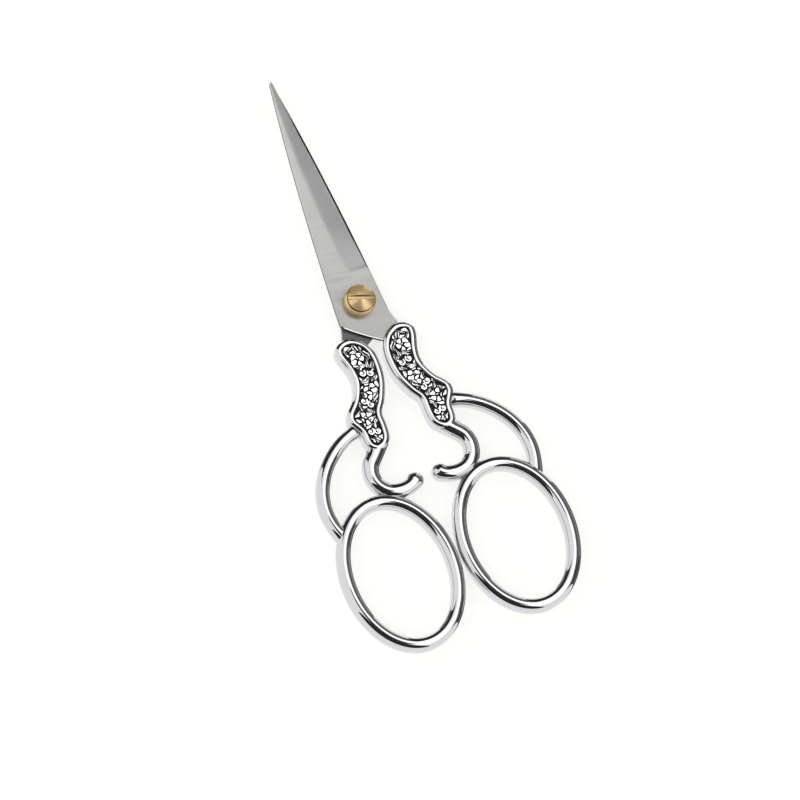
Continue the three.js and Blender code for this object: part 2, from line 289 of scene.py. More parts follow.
def bezier_handles(before, start, end, after):
    """Inner handles of the arc from start to end, for a line that passes evenly through uneven points."""
    a = (start - before).length ** 0.5
    b = (end - start).length ** 0.5
    c = (after - end).length ** 0.5
    first = (a * a * end - b * b * before + (2 * a * a + 3 * a * b + b * b) * start) / (3 * a * (a + b))
    second = (c * c * start - b * b * after + (2 * c * c + 3 * c * b + b * b) * end) / (3 * c * (c + b))
    return first, second


def smooth_line(points, closed=False):
    """A fine polyline that passes through the points in the middle plane."""
    knots = [Vector((x, y, MIDDLE)) for x, y in points]
    if closed:
        knots = [knots[-1], *knots, knots[0], knots[1]]
    else:
        knots = [2 * knots[0] - knots[1], *knots, 2 * knots[-1] - knots[-2]]
    line = []
    for k in range(1, len(knots) - 2):
        first, second = bezier_handles(*knots[k - 1:k + 3])
        line += interpolate_bezier(knots[k], first, second, knots[k + 1], BEZIER_STEPS)[:-1]
    return line + [knots[-2]]


def even_walk(line, pace):
    """Points at an even pace along a polyline, from its start to its end."""
    lengths = [0]
    for a, b in zip(line, line[1:]):
        lengths.append(lengths[-1] + (b - a).length)
    count = round(lengths[-1] / pace)
    points = []
    k = 0
    for step in range(count + 1):
        target = lengths[-1] * step / count
        while k < len(line) - 2 and lengths[k + 1] < target:
            k += 1
        share = (target - lengths[k]) / (lengths[k + 1] - lengths[k])
        points.append(line[k].lerp(line[k + 1], share))
    return points


def calm(points, rounds):
    """Evens out small jumps of curvature. The ends stay."""
    for _ in range(rounds):
        inner = [(a + 2 * b + c) / 4 for a, b, c in zip(points, points[1:], points[2:])]
        points = [points[0], *inner, points[-1]]
    return points


# %% [markdown]
# The castings of the two handles are alike: one is the other turned over. Each is a plate with a carved
# panel, from which grow a curled hook, a side arc and a finger ring. A bar could be a bevelled curve, but
# a curve's section can't change along its way as these do where they flow into the plate. So a rounded
# section is extruded step by step, and each new ring of edges is moved, turned and sized for its place.

# %% Bars from an extruded section
SECTION_SIDES = 32
SECTION_SQUARENESS = 2.5


def only(kind, items):
    return [item for item in items if isinstance(item, kind)]


def station(place, travel, width, thickness):
    across = Vector((travel.y, -travel.x, 0))
    turn = Matrix((across, (0, 0, 1), travel)).transposed().to_4x4()
    return Matrix.Translation(place) @ turn @ Matrix.Diagonal((width / 2, thickness / 2, 1, 1))


def section_ring(bm, where, sides, squareness):
    """A rounded section in place, as the ring of edges that the bar grows from."""
    made = bmesh.ops.create_circle(bm, segments=sides, radius=1)["verts"]
    power = 2 / squareness
    for vert in made:
        x, y, _ = vert.co
        vert.co.x = abs(x) ** power * (1 if x > 0 else -1)
        vert.co.y = abs(y) ** power * (1 if y > 0 else -1)
    bmesh.ops.transform(bm, matrix=where, verts=made)
    return list({edge for vert in made for edge in vert.link_edges})


def grow_ring(bm, ring):
    """Extrudes a ring of edges. Gives the new corners and the new ring."""
    grown = bmesh.ops.extrude_edge_only(bm, edges=ring)["geom"]
    verts = set(only(bmesh.types.BMVert, grown))
    edges = [edge for edge in only(bmesh.types.BMEdge, grown) if verts.issuperset(edge.verts)]
    return list(verts), edges


def grow_bar(stations, closed=False, sides=SECTION_SIDES, squareness=SECTION_SQUARENESS):
    """A bar through all stations, each a matrix. Closed bars meet their start again."""
    bm = bmesh.new()
    first = section_ring(bm, stations[0], sides, squareness)
    ring = first
    for before, after in zip(stations, stations[1:]):
        verts, ring = grow_ring(bm, ring)
        bmesh.ops.transform(bm, matrix=after @ before.inverted(), verts=verts)
    if closed:
        bmesh.ops.bridge_loops(bm, edges=first + ring)
    else:
        bmesh.ops.edgeloop_fill(bm, edges=first)
        bmesh.ops.edgeloop_fill(bm, edges=ring)
    bmesh.ops.recalc_face_normals(bm, faces=bm.faces)
    return bm


def travel_at(points, k, closed=False):
    if closed:
        return (points[(k + 1) % len(points)] - points[k - 1]).normalized()
    return (points[min(k + 1, len(points) - 1)] - points[max(k - 1, 0)]).normalized()


# %% Finger ring
RING_W = 3.15
RING_HALF = (13.2, 17.7)
RING_CENTRE = (13.35, -58.6)
RING_POINTS = 720
RING_PACE = 0.45


def ring_point(angle):
    half_x = RING_HALF[0] - RING_W / 2
    half_y = RING_HALF[1] - RING_W / 2
    return Vector((RING_CENTRE[0] + half_x * cos(angle), RING_CENTRE[1] + half_y * sin(angle), MIDDLE))


oval = [ring_point(2 * pi * k / RING_POINTS) for k in range(RING_POINTS + 1)]
ring_line = even_walk(oval, RING_PACE)[:-1]
ring_stations = []
for k, point in enumerate(ring_line):
    ring_stations.append(station(point, travel_at(ring_line, k, True), RING_W, HANDLE_T))
ring_bar = grow_bar(ring_stations, closed=True)
print("finger ring:", len(ring_bar.faces), "faces")

# %% Side arc
ARC_W = 3.0
ARC_T = 3.8
ARC_START = (9.6, -26.0)
ARC_BEND = ((19.1, -27.5), (27.2, -38.3))
ARC_LANDING = radians(43)
ARC_SUNK_T = 2.6
ARC_SUNK_REACH = (0.5, 1.9)
ARC_FLARE = 0.3
ARC_FLARE_REACH = 4.5
ARC_POINTS = 120
ARC_PACE = 0.4


def eased(value, low, high):
    """0 up to a low value, 1 from a high value on, and a soft rise between them."""
    share = min(1, max(0, (value - low) / (high - low)))
    return share * share * (3 - 2 * share)


arc_knots = [Vector((x, y, MIDDLE)) for x, y in (ARC_START, *ARC_BEND)]
arc_line = even_walk(interpolate_bezier(*arc_knots, ring_point(ARC_LANDING), ARC_POINTS), ARC_PACE)
arc_stations = []
for k, point in enumerate(arc_line):
    from_plate = (point - arc_line[0]).length
    from_ring = (point - arc_line[-1]).length
    flare = max(0, 1 - min(from_plate, from_ring) / ARC_FLARE_REACH) ** 2
    thickness = blend(ARC_SUNK_T, ARC_T, eased(from_plate, *ARC_SUNK_REACH))
    arc_stations.append(station(point, travel_at(arc_line, k), ARC_W * (1 + ARC_FLARE * flare), thickness))
arc_bar = grow_bar(arc_stations)
print("side arc:", len(arc_bar.faces), "faces")

# %% Curled hook
HOOK_LINE = (
    (8.05, -31.3), (8.7, -32.1), (9.45, -32.85), (10.12, -33.55), (10.77, -34.4), (11.17, -35.55),
    (11.38, -36.75), (10.75, -39.2), (8.75, -41.1), (6.0, -41.6), (3.6, -41.0), (1.5, -39.0),
)
HOOK_WIDTHS = (
    (0, 5.4), (1.0, 5.15), (2.0, 4.7), (3.0, 4.2), (4.0, 3.85), (5.3, 3.6), (7.0, 3.5), (99, 3.5),
)
HOOK_PACE = 0.2
HOOK_CALM = 10
HOOK_TURN_IN = (0.5, 6.0)
HOOK_T = 4.1
HOOK_ROOT_T = HANDLE_T - 0.08
HOOK_T_RUN = (0, 5)
KNOB_R = 1.85
KNOB_SWELL = 3.4
KNOB_STEPS = 10
KNOB_LEFT_OPEN = 0.3


def read_table(table, value):
    """The size at a value, on straight lines between the entries of a table."""
    for (low, size), (high, next_size) in zip(table, table[1:]):
        if value <= high:
            return size + (next_size - size) * (value - low) / (high - low)
    return table[-1][1]


hook_line = calm(even_walk(smooth_line(HOOK_LINE), HOOK_PACE), HOOK_CALM)
hook_length = sum((b - a).length for a, b in zip(hook_line, hook_line[1:]))
hook_stations = []
for k, point in enumerate(hook_line):
    walked = hook_length * k / (len(hook_line) - 1)
    if walked > hook_length - KNOB_R:
        break
    turned_in = eased(walked, *HOOK_TURN_IN)
    travel = Vector((0, -1, 0)).lerp(travel_at(hook_line, k), turned_in).normalized()
    swell = eased(walked, hook_length - KNOB_SWELL, hook_length - KNOB_R)
    width = read_table(HOOK_WIDTHS, walked) + (2 * KNOB_R - HOOK_WIDTHS[-1][1]) * swell
    thickness = blend(HOOK_ROOT_T, HOOK_T, eased(walked, *HOOK_T_RUN))
    hook_stations.append(station(point, travel, width, thickness))
knob_from = hook_line[k - 1]
knob_way = travel_at(hook_line, k - 1)
for step in range(1, KNOB_STEPS + 1):
    turn = (step - KNOB_LEFT_OPEN) / KNOB_STEPS * pi / 2
    place = knob_from + knob_way * KNOB_R * sin(turn)
    hook_stations.append(station(place, knob_way, 2 * KNOB_R * cos(turn), HOOK_T * cos(turn)))
hook_bar = grow_bar(hook_stations)
print("hook:", round(hook_length, 1), "mm long,", len(hook_bar.faces), "faces")

# %% [markdown]
# The plate of the handle has a wavy outline, a rounded rim and a sunk panel on both faces. The rim could
# be swept like the bars, but inset is made for this: it moves the border of a face inwards and up or down
# at once, so a few insets draw the rounding, the crown of the rim and the wall of the panel. Half of the
# plate is made, then mirrored.

# %% Plate with its rim and panel
PLATE_OUTLINE = (
    (5.3, -6.95), (7.4, -7.2), (8.9, -8.4), (9.1, -10), (8.0, -14), (7.9, -16.4), (9.4, -19.9),
    (11.7, -22.6), (12.0, -24.6), (10.5, -27.6), (10.4, -29.6), (9.9, -31.2), (8.2, -32.3), (6.3, -31.8),
    (4.9, -30.2), (4.45, -27), (4.4, -24.5), (2.9, -22.1), (1.3, -18.3), (0.75, -14.4), (1.05, -11.2),
    (2.6, -8.5),
)
PLATE_PACE = 0.3
PLATE_CALM = 2
RIM_ROUND = 0.8
RIM_STEPS = 8
RIM_FALL = ((0.32, 0.0), (0.08, -0.02), (0.05, -0.05), (0.03, -0.08), (0.06, -0.35))
PLATE_MERGE = 0.001


def step_in(bm, face, inwards, rise, even=True):
    """Moves the border of a face inwards and up. Gives the faces of the new step."""
    return bmesh.ops.inset_region(bm, faces=[face], thickness=inwards, depth=rise, use_boundary=True,
                                  use_even_offset=even)["faces"]


def mirror_half(bm, merge):
    """Adds the mirror image below the middle plane."""
    bmesh.ops.mirror(bm, geom=bm.verts[:] + bm.edges[:] + bm.faces[:], axis="Z", merge_dist=merge,
                     matrix=Matrix.Translation((0, 0, -MIDDLE)))
    bmesh.ops.recalc_face_normals(bm, faces=bm.faces)


plate = bmesh.new()
outline = calm(even_walk(smooth_line(PLATE_OUTLINE, closed=True), PLATE_PACE), PLATE_CALM)[:-1]
base = plate.faces.new([plate.verts.new(point) for point in outline])
base.normal_update()
if base.normal.z < 0:
    base.normal_flip()
top = only(bmesh.types.BMFace, bmesh.ops.extrude_face_region(plate, geom=[base])["geom"])[0]
bmesh.ops.delete(plate, geom=[base], context="FACES_ONLY")
bmesh.ops.translate(plate, vec=(0, 0, MIDDLE - RIM_ROUND), verts=top.verts)
quarter = [step / RIM_STEPS * pi / 2 for step in range(RIM_STEPS + 1)]
for low, high in zip(quarter, quarter[1:]):
    step_in(plate, top, RIM_ROUND * (cos(low) - cos(high)), RIM_ROUND * (sin(high) - sin(low)))
for inwards, rise in RIM_FALL:
    wall = step_in(plate, top, inwards, rise)
for face in [*wall, top]:
    face.material_index = 1
panel_border = [vert.co.copy() for vert in top.verts]
panel_floor = panel_border[0].z
mirror_half(plate, PLATE_MERGE)
heights = [vert.co.z for vert in plate.verts]
print("plate:", len(plate.faces), "faces, from", round(min(heights), 3), "to", round(max(heights), 3))

# %% [markdown]
# The bars and the plate are one casting, so they become one skin. They could simply overlap in one mesh,
# but a union drops the hidden faces and leaves true creases where the bars meet. The Boolean modifier
# does that, and the result is kept as a plain mesh.

# %% One casting
def combined(base, others, operation):
    """The mesh of an object joined with or cut by others. All of these objects are removed."""
    for other in others:
        step = base.modifiers.new(other.name, "BOOLEAN")
        step.operation = operation
        step.solver = "EXACT"
        step.object = other
    shown = base.evaluated_get(bpy.context.evaluated_depsgraph_get())
    bm = bmesh.new()
    bm.from_mesh(bpy.data.meshes.new_from_object(shown))
    for made in (base, *others):
        bpy.data.objects.remove(made)
    return bm


def open_edges(bm):
    return sum(not edge.is_manifold for edge in bm.edges)


bars = [mesh_object("hook", hook_bar), mesh_object("arc", arc_bar), mesh_object("ring", ring_bar)]
casting = combined(mesh_object("plate", plate), bars, "UNION")
print("casting:", len(casting.faces), "faces,", open_edges(casting), "open edges")

# %% Finishing a piece
PIECE_CREASE = 35
RELIEF_CREASE = 18
BLADE_CREASE = 8


def finish_piece(name, bm, materials, body, stands_for=(), crease=PIECE_CREASE):
    """Brings a mesh in millimetres to metres, makes it a piece and hangs it on its body."""
    bmesh.ops.scale(bm, vec=(MM, MM, MM), verts=bm.verts)
    made = mesh_object(name, bm, materials)
    made.data.shade_smooth()
    made.data.set_sharp_from_angle(angle=radians(crease))
    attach(made, body)
    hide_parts(*stands_for)
    print(name, "has", len(made.data.polygons), "faces")


# %% [markdown]
# Plated zinc has a bright skin that is never quite flat: it carries faint waves from the casting and fine
# wiping marks. A perfectly smooth metal shader would look like a computer's mirror, so a weak noise bends
# the reflections a little and another one changes the gloss. In the sunk panels the plating is blackened.
# There the black sits low and the high spots are rubbed bright, so the colour follows the height above
# the panel's floor.

# %% Bright and blackened plating
CHROME = (0.69, 0.69, 0.705, 1)
SOOT = (0.012, 0.012, 0.014, 1)
RUBBED = (0.97, 0.97, 0.98, 1)
RUBBED_RISES = (0.22, 0.35)
WIPE_SCALE = 420.0
WAVE_SCALE = 260.0
WAVE_STRENGTH = 0.25
WAVE_DEPTH = 0.00006


def plating(name, glosses):
    """Plating with its tree, its shader and the place on the piece, for more nodes."""
    material, tree, shader = new_material(name, {"Metallic": 1.0, "Base Color": CHROME})
    place = object_place(tree)
    wipes = add_noise(tree, place, WIPE_SCALE, 3.0)
    waves = add_noise(tree, place, WAVE_SCALE, 1.0)
    fill_inputs(tree, shader, {
        "Roughness": add_range(tree, wipes, NOISE_SPAN, glosses),
        "Normal": add_bump(tree, waves, WAVE_STRENGTH, WAVE_DEPTH)})
    return material, tree, shader, place


chrome = plating("bright_chrome", (0.012, 0.05))[0]

antique, tree, shader, place = plating("blackened_relief", (0.12, 0.2))
off_middle = add_math(tree, "SUBTRACT", axes_of(tree, place)["Z"], MIDDLE * MM)
off_middle = add_math(tree, "ABSOLUTE", off_middle)
rub_span = [(panel_floor - MIDDLE + rise) * MM for rise in RUBBED_RISES]
rubbed = add_range(tree, off_middle, rub_span, UNIT, interpolation_type="SMOOTHSTEP")
fill_inputs(tree, shader, {"Base Color": add_mix(tree, rubbed, SOOT, RUBBED)})
print("plating reads the height of the panel's floor:", round(panel_floor, 2), "mm")

# %% The two castings
TURN_OVER = Matrix.Translation((0, 0, HANDLE_T)) @ Matrix.Rotation(pi, 4, "Y")


def turned_over(bm):
    """A copy for the rear half, turned over about the long axis."""
    other = bm.copy()
    bmesh.ops.transform(other, matrix=TURN_OVER, verts=other.verts)
    return other


left_casting = turned_over(casting)
platings = (chrome, antique)
finish_piece("right_casting", casting, platings, "front_half", ["right_handle"])
finish_piece("left_casting", left_casting, platings, "rear_half", ["left_handle"])

# %% [markdown]
# The panels carry a cast ornament of the old kind: small flowers, bent leaves and curls, crowded on a
# dark ground. It could be a bump map, but at this size the light should fall on real forms and the
# outline should hold from the side. All leaves are first drawn flat on the panel's floor, as discs drawn
# out to drops. A line through the middle of the panel says where the flowers go.

# %% Places along the panel
PANEL_LINE = (
    (5.3, -8.6), (5.15, -10.5), (4.75, -13), (4.5, -15.5), (4.95, -18), (6.1, -20.6), (7.5, -23),
    (8.0, -25.3), (7.6, -27.8), (7.5, -30.6),
)
PANEL_PACE = 0.1
panel_walk = even_walk(smooth_line(PANEL_LINE), PANEL_PACE)
panel_length = PANEL_PACE * (len(panel_walk) - 1)


def along_panel(distance, aside):
    """A place in the panel and the way along it there."""
    k = min(len(panel_walk) - 2, max(1, round(distance / PANEL_PACE)))
    travel = travel_at(panel_walk, k)
    place = panel_walk[k] + Vector((-travel.y, travel.x, 0)) * aside
    return place, atan2(travel.y, travel.x)


def within_panel(place):
    """Whether a place lies on the panel's floor, by counting the walls to its right."""
    inside = False
    for a, b in zip(panel_border, panel_border[1:] + panel_border[:1]):
        if (a.y > place.y) != (b.y > place.y):
            if place.x < a.x + (b.x - a.x) * (place.y - a.y) / (b.y - a.y):
                inside = not inside
    return inside


print("panel is", round(panel_length, 1), "mm long")

# %% Leaves drawn flat
LEAF_SIDES = 16
LEAF_SINK = 0.1
ROOT_Z = panel_floor - LEAF_SINK
drawing = bmesh.new()
taken = []


def draw_disc(place, radius):
    where = Matrix.Translation((place.x, place.y, ROOT_Z))
    bmesh.ops.create_circle(drawing, cap_ends=True, segments=LEAF_SIDES, radius=radius, matrix=where)


def draw_leaf(root, way, length, width, bend=0.0):
    """A drop from its root along an angle, slim at the root, full at the tip and bent to one side."""
    made = bmesh.ops.create_circle(drawing, cap_ends=True, segments=LEAF_SIDES, radius=1)["verts"]
    for vert in made:
        share = (vert.co.x + 1) / 2
        vert.co.y = vert.co.y * (0.5 + 0.5 * share) + bend * share * share
    place = Matrix.Translation((root.x, root.y, ROOT_Z)) @ Matrix.Rotation(way, 4, "Z")
    size = Matrix.Translation((length / 2, 0, 0)) @ Matrix.Diagonal((length / 2, width / 2, 1, 1))
    bmesh.ops.transform(drawing, matrix=place @ size, verts=made)


# %% Flowers
FLOWERS = ((3.3, 0.3), (10.2, -0.1), (16.9, 0.1))
FLOWER_R = 1.35
FLOWER_EYE = 0.3
PETALS = 5
PETAL_ROOT = 0.42
PETAL_W = 1.0

for spot in FLOWERS:
    centre, way = along_panel(*spot)
    for k in range(PETALS):
        angle = way + 2 * pi * k / PETALS
        root = centre + Vector((cos(angle), sin(angle), 0)) * PETAL_ROOT
        draw_leaf(root, angle, FLOWER_R - PETAL_ROOT, PETAL_W)
    draw_disc(centre, FLOWER_EYE)
    taken.append((centre.x, centre.y, FLOWER_R))
print(len(FLOWERS), "flowers on a panel")

# %% Lines of the curls
CURLS = (
    (6.6, 0.85, 1), (7.0, -0.9, -1), (13.3, 0.8, 1), (13.6, -0.85, -1), (19.9, 0.7, 1), (20.3, -0.75, -1),
)
CURL_R = 0.72
CURL_W = 0.44
CURL_STEPS = 22
CURL_TURN = 6.6
CURL_START = 2.4
CURL_CLOSING = 0.62


def curl_line(distance, aside, side, widened=0.0):
    """Places and ways along a spiral, from its outer end inwards. Side -1 winds it the other way."""
    centre, way = along_panel(distance, aside)
    line = []
    for step in range(CURL_STEPS + 1):
        share = step / CURL_STEPS
        angle = way + side * (CURL_TURN * share - CURL_START)
        reach = CURL_R * (1 - CURL_CLOSING * share) + widened
        place = Vector((centre.x + reach * cos(angle), centre.y + reach * sin(angle), panel_floor))
        line.append((place, Vector((-sin(angle) * side, cos(angle) * side, 0))))
    return line


for spot in CURLS:
    taken += [(place.x, place.y, CURL_W / 2) for place, travel in curl_line(*spot)]
print(len(CURLS), "curls on a panel")

# %% [markdown]
# The ground between flowers and curls is filled with leaves by trying many places in turn: a leaf stays
# where it touches neither the wall nor what is already there. Large leaves come first, and smaller ones
# fill the rest, which gives the crowded look of the casting without a list of places.

# %% Leaves between them
LEAF_SIZES = ((2.3, 0.84), (1.75, 0.74), (1.3, 0.64), (0.95, 0.56), (0.65, 0.46))
LEAF_GAP = 0.16
WALL_GAP = 0.1
LEAF_BEND = 0.9
LEAF_TURNS = (0.5, -0.5, 1.3, -1.3, 2.4)
LEAF_DISCS = ((0.2, 0.3), (0.5, 0.4), (0.76, 0.44))
STEP = 0.3
ROWS = 8


def leaf_discs(root, way, length, width, bend):
    """Three discs that together cover a leaf, to ask whether its place is free."""
    along = Vector((cos(way), sin(way), 0))
    aside = Vector((-along.y, along.x, 0))
    discs = []
    for share, size in LEAF_DISCS:
        place = root + along * length * share + aside * bend * share * share * width / 2
        discs.append((place.x, place.y, width * size))
    return discs


def is_free(discs):
    for x, y, radius in discs:
        for other_x, other_y, other_radius in taken:
            if (x - other_x) ** 2 + (y - other_y) ** 2 < (radius + other_radius + LEAF_GAP) ** 2:
                return False
        if not within_panel(Vector((x, y))):
            return False
        for wall in panel_border:
            if (x - wall.x) ** 2 + (y - wall.y) ** 2 < (radius + WALL_GAP) ** 2:
                return False
    return True


def try_place(k, j, length, width):
    """Draws a leaf at a step k along the panel and j aside, with the first turn that is free."""
    root, way = along_panel(k * STEP, j * STEP)
    bend = LEAF_BEND * (1 if (j + k) % 2 else -1)
    for turn in LEAF_TURNS:
        lean = way + turn * (1 if j > 0 else -1)
        discs = leaf_discs(root, lean, length, width, bend)
        if is_free(discs):
            draw_leaf(root, lean, length, width, bend)
            taken.extend(discs)
            return


for length, width in LEAF_SIZES:
    for k in range(int(panel_length / STEP) + 1):
        for j in range(-ROWS, ROWS + 1):
            try_place(k, j, length, width)
print("drawing holds", len(drawing.faces), "petals and leaves")

# %% [markdown]
# The drawn leaves still leave too much bare ground. In the casting they crowd each other, so here they
# grow: in every round each corner of a leaf moves a little outwards, unless something else is too near. A
# search tree of all corners answers that quickly. A light smoothing after each round keeps the outlines
# round, and in the end only a thin groove is left between neighbours.

# %% Growing the leaves
GROOVE = 0.27
GROWTH = 0.04
GROWTH_ROUNDS = 9
GROWTH_SMOOTHING = 0.25

fence = [Vector((wall.x, wall.y, ROOT_Z)) for wall in panel_border]
for spot in CURLS:
    fence += [Vector((place.x, place.y, ROOT_Z)) for place, travel in curl_line(*spot, CURL_W / 2)]


def search_tree(places):
    finder = KDTree(len(places))
    for k, place in enumerate(places):
        finder.insert(place, k)
    finder.balance()
    return finder


def grow_leaves():
    """One round of growth. The tree holds the fence first and then the corners of all leaves."""
    drawing.verts.index_update()
    finder = search_tree([*fence, *(vert.co for vert in drawing.verts)])
    moved = 0
    for face in drawing.faces:
        own = {len(fence) + vert.index for vert in face.verts}
        centre = face.calc_center_median()
        for vert in face.verts:
            place = vert.co + (vert.co - centre).normalized() * GROWTH
            if all(index in own for _, index, _ in finder.find_range(place, GROOVE)):
                vert.co = place
                moved += 1
    bmesh.ops.smooth_vert(drawing, verts=drawing.verts, factor=GROWTH_SMOOTHING, use_axis_x=True,
                          use_axis_y=True)
    return moved


growth = [grow_leaves() for _ in range(GROWTH_ROUNDS)]
covered = sum(face.calc_area() for face in drawing.faces)
print("corners that moved in each round:", growth)
print("leaves now cover", round(covered, 1), "square mm")

# %% [markdown]
# A larger leaf has a vein. It could be a dark line in the material, but light from the side would not
# know of it, so it is a real groove: the leaf is split along its longest line, and the halves are drawn
# apart.

# %% Veins of the leaves
VEIN_W = 0.22
VEINED_AREA = 1.05
VEIN_CUTS = 3


def cut_vein(leaf):
    """Splits a leaf along its longest line and moves the cut sides apart."""
    corners = leaf.verts[:]
    pairs = zip(corners, corners[len(corners) // 2:])
    start, end = max(pairs, key=lambda pair: (pair[0].co - pair[1].co).length)
    root = start.co.copy()
    along = (end.co - start.co).normalized()
    aside = Vector((-along.y, along.x, 0))
    vein = bmesh.ops.connect_verts(drawing, verts=[start, end])["edges"]
    halves = list(vein[0].link_faces)
    cut = bmesh.ops.bisect_edges(drawing, edges=vein, cuts=VEIN_CUTS)["geom_split"]
    bmesh.ops.split_edges(drawing, edges=only(bmesh.types.BMEdge, cut))
    for half in halves:
        side = 1 if (half.calc_center_median() - root).dot(aside) > 0 else -1
        for vert in half.verts:
            missing = VEIN_W / 2 - side * (vert.co - root).dot(aside)
            if missing > 0:
                vert.co += aside * side * missing


veined = [face for face in drawing.faces if face.calc_area() > VEINED_AREA]
for leaf in veined:
    cut_vein(leaf)
print(len(veined), "veined leaves, so the drawing holds", len(drawing.faces), "faces")

# %% [markdown]
# Grown like this, the outlines still look like cobbles. The carver of the pattern drew livelier lines, so
# the whole drawing is warped by a noise field: neighbours move together, so the grooves keep their width
# and only begin to swing. The leaves are then raised to different heights with a broken edge, and their
# worn tops lean a little.

# %% Swinging outlines
WARP = 0.55
WARP_SIZE = 0.85
WARP_SHIFT = Vector((31.4, 17.2, 5.3))
WARP_KEEPS = 0.13

fence_finder = search_tree(fence)
bent = 0
for vert in drawing.verts:
    spot = vert.co / WARP_SIZE
    place = vert.co + Vector((noise.noise(spot), noise.noise(spot + WARP_SHIFT), 0)) * WARP
    if fence_finder.find(place)[2] > WARP_KEEPS and within_panel(place):
        vert.co = place
        bent += 1
print(bent, "of", len(drawing.verts), "corners swung")

# %% Raising the leaves
LEAF_RISES = (0.3, 0.38)
TOP_STEPS = ((0.03, 0.05), (0.03, 0.015))
TOP_TILTS = (0.01, 0.08)
GOLDEN_SHARE = 0.618
GOLDEN_TURN = 2.4
CURL_EYE = 0.26


def raise_leaf(face, rise, tilt):
    """Raises a flat leaf to a low boss with a broken edge and a leaning top."""
    grown = bmesh.ops.extrude_face_region(drawing, geom=[face], use_keep_orig=True)["geom"]
    top = only(bmesh.types.BMFace, grown)[0]
    bmesh.ops.translate(drawing, vec=(0, 0, rise + LEAF_SINK), verts=top.verts)
    for inwards, upwards in TOP_STEPS:
        step_in(drawing, top, inwards, upwards, even=False)
    centre = top.calc_center_median()
    for vert in top.verts:
        vert.co.z += (vert.co - centre).dot(tilt)


for distance, aside, side in CURLS:
    draw_disc(along_panel(distance, aside)[0], CURL_EYE)
for k, face in enumerate(list(drawing.faces)):
    share = k * GOLDEN_SHARE % 1
    rise = blend(LEAF_RISES[1], LEAF_RISES[0], share * share)
    lean = blend(*TOP_TILTS, k * GOLDEN_SHARE * 3 % 1)
    turn = GOLDEN_TURN * k
    raise_leaf(face, rise, Vector((cos(turn), sin(turn), 0)) * lean)
print("raised leaves:", len(drawing.faces), "faces")

# %% Curls
CURL_RISE = 0.4
CURL_TAPER = 0.08
CURL_SIDES = 12
CURL_SQUARENESS = 5

for spot in CURLS:
    stations = []
    for k, (place, travel) in enumerate(curl_line(*spot)):
        width = CURL_W - CURL_TAPER * k / CURL_STEPS
        stations.append(station(place, travel, width, 2 * CURL_RISE))
    curl = grow_bar(stations, sides=CURL_SIDES, squareness=CURL_SQUARENESS)
    spare = bpy.data.meshes.new("spare")
    curl.to_mesh(spare)
    curl.free()
    drawing.from_mesh(spare)
    bpy.data.meshes.remove(spare)
mirror_half(drawing, 0.0)
print("ornament:", len(drawing.faces), "faces on both sides")

# %% Ornament on both handles
left_drawing = turned_over(drawing)
finish_piece("right_relief", drawing, (antique,), "front_half", crease=RELIEF_CREASE)
finish_piece("left_relief", left_drawing, (antique,), "rear_half", crease=RELIEF_CREASE)

# %% [markdown]
# The blades are stamped from sheet and ground. A flat side runs from the heel to the tip, and a ground
# bevel falls from it to the cutting edge, starting in a shallow step above the pivot. A blade could be
# cut from a plate with planes, but both its sides are bowed. So one section with broken edges is extruded
# along the blade in many steps, and every new ring of edges is set to the width and the bevel of its
# place.

# %% Blade sizes
BLADE_T = 1.1
BLADE_GAP = 0.1
BLADE_LOW = MIDDLE + BLADE_GAP / 2
BLADE_TOP = BLADE_LOW + BLADE_T
TIP_Y = 51.9
TIP_R = 0.42
TIP_HALF = 0.06
EDGE_TIP_X = 0.2
HEEL = (-5.75, -3.9)
HEEL_R = 0.6
HEEL_BOW = (-1.8, -7.4)
HEEL_END = (2.4, -9.8)
SPINE_BOW = (-3.8, 28.5)
EDGE_BOW = (3.5, 21)
EDGE_T = 0.3
PLUNGE_Y = 7.1
PLUNGE_R = 0.6
PLUNGE_FADE = (PLUNGE_Y - PLUNGE_R, PLUNGE_Y + PLUNGE_R)
PLUNGE_SHARE = 0.25
PLUNGE_RUN = 14
BEVEL_BASE_X = 0.3
BEVEL_BOW = (-1.6, 27)
BEVEL_SOFTNESS = 0.6
STEEPEST = 0.28
NECK = (5.2, -1.2)
SHOULDER = (6.7, -7.4)
TANG_END_Y = -12.5
TANG_SIDES = (3.0, 6.2)
BOW_POINTS = 160


def bow(start, pull, end):
    """A fine line from start to end that one point pulls aside."""
    a, b, c = (Vector((x, y, 0)) for x, y in (start, pull, end))
    return interpolate_bezier(a, a.lerp(b, 2 / 3), c.lerp(b, 2 / 3), c, BOW_POINTS)


def across_at(line, y):
    """Where a line that runs along the blade crosses a height y."""
    for a, b in zip(line, line[1:]):
        if min(a.y, b.y) <= y <= max(a.y, b.y) and a.y != b.y:
            return a.x + (b.x - a.x) * (y - a.y) / (b.y - a.y)
    nearest = min((line[0], line[-1]), key=lambda point: abs(point.y - y))
    return nearest.x


